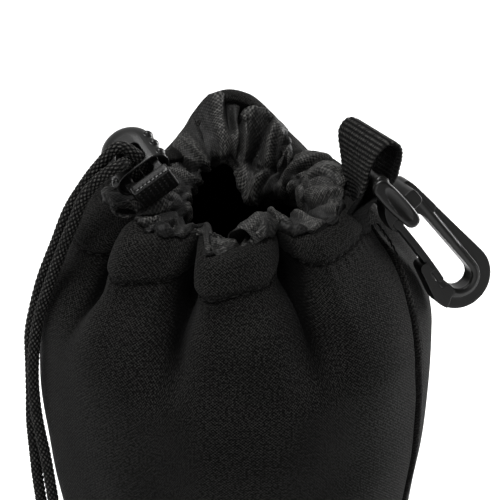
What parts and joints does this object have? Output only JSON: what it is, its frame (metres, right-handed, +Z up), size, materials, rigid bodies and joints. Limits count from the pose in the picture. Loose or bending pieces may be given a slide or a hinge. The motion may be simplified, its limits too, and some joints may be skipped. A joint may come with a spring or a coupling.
{
  "type": "drawstring lens pouch",
  "caption": "Black padded neoprene lens pouch with a gathered drawcord mouth, a spring cord lock, a webbing loop and a plastic snap hook.",
  "frame": {"origin": "middle of the flat base, on the floor the pouch stands on", "axes": "+Z up along the pouch to its mouth, +X toward the webbing loop and snap hook, +Y away from the viewer"},
  "size_m": [0.1318, 0.111, 0.1811],
  "materials": {
    "neoprene": "matte",
    "plush": "matte",
    "nylon": "satin",
    "cord": "matte",
    "webbing": "matte",
    "plastic": "satin",
    "spring_steel": "satin"
  },
  "bodies": {
    "pouch": {"sleeve": "neoprene", "base_panel": "neoprene", "base_binding": "nylon", "lining_sleeve": "plush", "lining_base": "plush", "casing": "nylon", "drawcord_loop": "cord", "webbing_loop": "webbing"},
    "cord_lock": {"lock_barrel": "plastic", "lock_spring": "spring_steel", "drawcord_tail_front": "cord", "drawcord_tail_back": "cord", "tail_knot": "cord"},
    "plunger": {"lock_plunger": "plastic"},
    "hook": {"hook_body": "plastic"},
    "gate": {"hook_gate": "plastic"}
  },
  "joints": [
    {"name": "cord_lock_slide", "type": "slide", "parent": "pouch", "child": "cord_lock", "axis": [-0.33, -0.4499, 0.8299], "range_m": [0, 0.02]},
    {"name": "plunger_press", "type": "slide", "parent": "cord_lock", "child": "plunger", "axis": [-0.4786, 0.8375, 0.2638], "range_m": [0, 0.0032], "stiffness_N_per_m": 900, "springref_m": -0.002, "deforming": ["lock_spring"]},
    {"name": "hook_swing", "type": "hinge", "parent": "pouch", "child": "hook", "pos_m": [0.0366, -0.0042, 0.165], "axis": [0.2892, -0.9195, 0.2662], "range_deg": [0, 55]},
    {"name": "gate_flex", "type": "hinge", "parent": "hook", "child": "gate", "pos_m": [0.04457, -0.00581, 0.15077], "axis": [0.2892, -0.9195, 0.2662], "range_deg": [0, 11], "stiffness_Nm_per_rad": 0.2, "springref_deg": -5.16}
  ]
}
